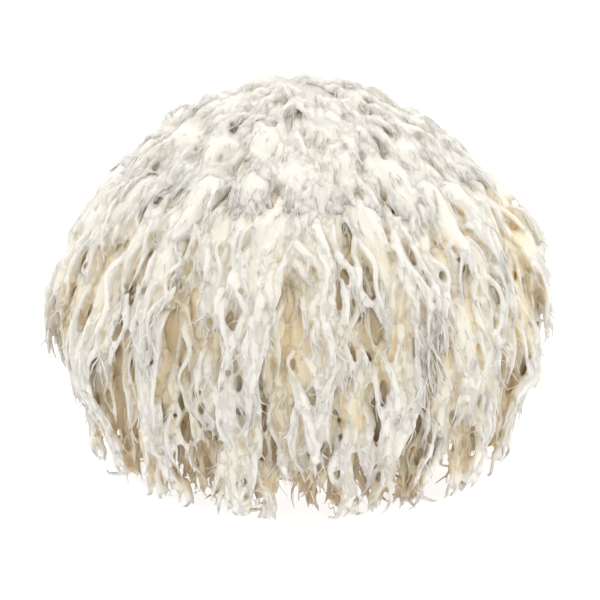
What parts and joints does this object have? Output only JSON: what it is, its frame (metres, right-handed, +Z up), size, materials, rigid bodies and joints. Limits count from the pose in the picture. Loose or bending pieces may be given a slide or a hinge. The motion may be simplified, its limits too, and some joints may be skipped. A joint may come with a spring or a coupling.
{
  "type": "lions mane mushroom",
  "caption": "Domed, shaggy lion's mane mushroom covered in hanging spines gathered in locks, cut flat at its foot and resting on the cut.",
  "frame": {"origin": "middle of the flat cut at the foot, which the mushroom rests on", "axes": "+Z up, out of the cut through the crown; +X to the right seen from the front, along the widest spread; the front of the picture faces -Y"},
  "size_m": [0.1748, 0.1479, 0.1371],
  "materials": {
    "mushroom_flesh": "soft, dry and matt, finely fibrous, ivory spines over tan flesh"
  },
  "bodies": {
    "root": {"fruiting_body": "mushroom_flesh"}
  },
  "joints": []
}
